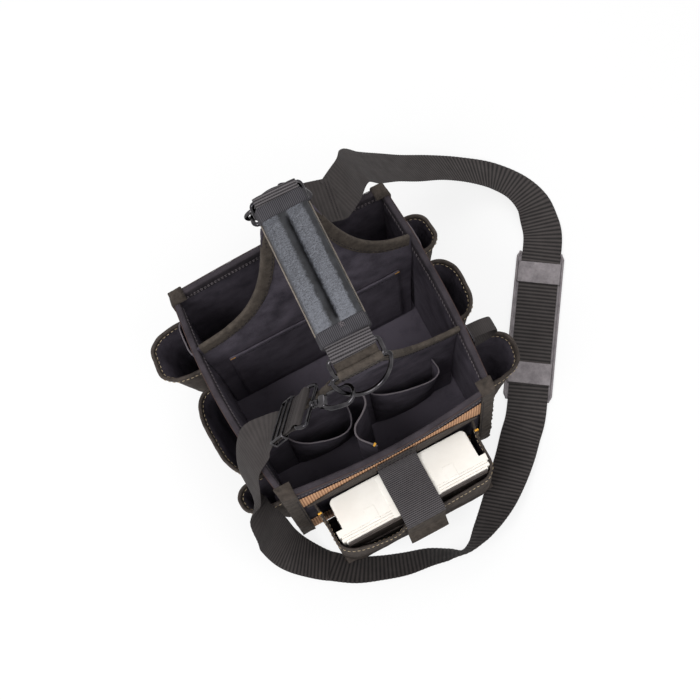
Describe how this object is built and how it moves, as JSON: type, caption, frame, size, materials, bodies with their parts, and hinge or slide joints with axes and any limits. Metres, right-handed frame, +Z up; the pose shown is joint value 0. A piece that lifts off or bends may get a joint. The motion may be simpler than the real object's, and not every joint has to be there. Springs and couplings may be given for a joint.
{
  "type": "open top tool carrier",
  "caption": "Open top fabric tool carrier with arched dividers, padded handle on rings, outside pockets, a lift-out parts tray and a webbing shoulder strap on snap hooks.",
  "frame": {"origin": "middle of the underside of the base", "axes": "+Z up, +Y to the back, +X to the right as seen from the side with the parts tray"},
  "size_m": [0.549, 0.4822, 0.4134],
  "materials": {
    "fabric": "black woven polyester, stiffened",
    "binding": "dark woven binding tape",
    "suede": "dark napped suede",
    "tan_webbing": "tan flat webbing",
    "strap_webbing": "black ribbed webbing",
    "vinyl": "black embossed vinyl, satin",
    "nickel": "polished black nickel",
    "tray_plastic": "off-white moulded plastic, satin",
    "pad_rubber": "dark matt rubber"
  },
  "bodies": {
    "carrier": {"base_board": "fabric", "front_wall": "fabric", "rear_wall": "fabric", "left_wall": "fabric", "right_wall": "fabric", "front_divider": "fabric", "rear_divider": "fabric", "left_sleeve_pocket": "fabric", "right_sleeve_pocket": "fabric", "front_inner_pocket_left": "fabric", "front_inner_pocket_right": "fabric", "rear_divider_pocket": "fabric", "front_partition": "fabric", "strap_patch": "fabric", "rim_binding_front": "binding", "rim_binding_rear": "binding", "rim_binding_left": "binding", "rim_binding_right": "binding", "corner_trim_front_left": "suede", "corner_trim_rear_left": "suede", "corner_trim_front_right": "suede", "corner_trim_rear_right": "suede", "front_arch_trim_left": "suede", "front_arch_trim_right": "suede", "rear_arch_trim_left": "suede", "rear_arch_trim_right": "suede", "front_ring_tab": "suede", "rear_ring_tab": "suede", "left_rear_pocket": "suede", "left_middle_pocket": "suede", "left_front_pocket": "suede", "right_rear_pocket": "suede", "right_middle_pocket": "suede", "right_front_pocket": "suede", "tray_pocket": "suede", "tan_band_upper": "tan_webbing", "tan_band_lower": "tan_webbing", "handle_webbing": "strap_webbing", "shoulder_strap": "strap_webbing", "tool_loop": "strap_webbing", "tray_strap_root": "strap_webbing", "handle_pad": "vinyl", "front_rect_ring": "nickel", "rear_rect_ring": "nickel", "front_swivel_eye": "nickel", "rear_swivel_eye": "nickel"},
    "front_d_ring": {"front_d_ring": "nickel"},
    "rear_d_ring": {"rear_d_ring": "nickel"},
    "front_hook": {"front_snap_hook": "nickel"},
    "rear_hook": {"rear_snap_hook": "nickel"},
    "front_gate": {"front_hook_gate": "nickel"},
    "rear_gate": {"rear_hook_gate": "nickel"},
    "pad": {"shoulder_pad": "pad_rubber"},
    "adjuster": {"strap_adjuster": "nickel"},
    "tray": {"tray_body": "tray_plastic", "tray_lid": "tray_plastic", "tray_latch_left": "tray_plastic", "tray_latch_right": "tray_plastic"},
    "strap_tongue": {"tray_strap": "strap_webbing"},
    "tool_ring": {"tool_ring": "nickel"}
  },
  "joints": [
    {"name": "front_d_ring_swing", "type": "hinge", "parent": "carrier", "child": "front_d_ring", "pos_m": [0.004, -0.08119, 0.38085], "axis": [1, 0, 0], "range_deg": [-3.5, 6]},
    {"name": "front_hook_swivel", "type": "hinge", "parent": "carrier", "child": "front_hook", "pos_m": [-0.05454, -0.08189, 0.33286], "axis": [-0.776, 0.3063, -0.5514], "range_deg": [-13, 13]},
    {"name": "front_hook_gate", "type": "hinge", "parent": "front_hook", "child": "front_gate", "pos_m": [-0.03767, -0.08129, 0.3421], "axis": [-0.4648, 0.3131, 0.8282], "range_deg": [0, 11], "stiffness_Nm_per_rad": 0.05},
    {"name": "rear_d_ring_swing", "type": "hinge", "parent": "carrier", "child": "rear_d_ring", "pos_m": [0.012, 0.10819, 0.38043], "axis": [1, 0, 0], "range_deg": [-6, 3.5]},
    {"name": "rear_hook_swivel", "type": "hinge", "parent": "carrier", "child": "rear_hook", "pos_m": [0.01634, 0.12541, 0.34267], "axis": [0.7507, 0, -0.6606], "range_deg": [-13, 13]},
    {"name": "rear_hook_gate", "type": "hinge", "parent": "rear_hook", "child": "rear_gate", "pos_m": [0.00732, 0.12526, 0.35966], "axis": [0.0146, 0.9998, 0.0166], "range_deg": [0, 20], "stiffness_Nm_per_rad": 0.05},
    {"name": "shoulder_pad_slide", "type": "slide", "parent": "carrier", "child": "pad", "axis": [-0.5721, -0.8202, 0], "range_m": [-0.018, 0.012]},
    {"name": "strap_adjuster_slide", "type": "slide", "parent": "carrier", "child": "adjuster", "axis": [-0.6388, 0.0764, -0.7656], "range_m": [-0.006, 0.004]},
    {"name": "tray_lift", "type": "slide", "parent": "carrier", "child": "tray", "axis": [0, -0.0785, 0.9969], "range_m": [0, 0.115], "deforming": ["tray_strap"]},
    {"name": "tray_strap_open", "type": "hinge", "parent": "carrier", "child": "strap_tongue", "pos_m": [0.004, -0.1415, 0.155], "axis": [-1, 0, 0], "range_deg": [0, 80]},
    {"name": "tool_ring_swing", "type": "hinge", "parent": "carrier", "child": "tool_ring", "pos_m": [0.1454, -0.058, 0.2052], "axis": [0, 1, 0], "range_deg": [-10, 12]}
  ]
}
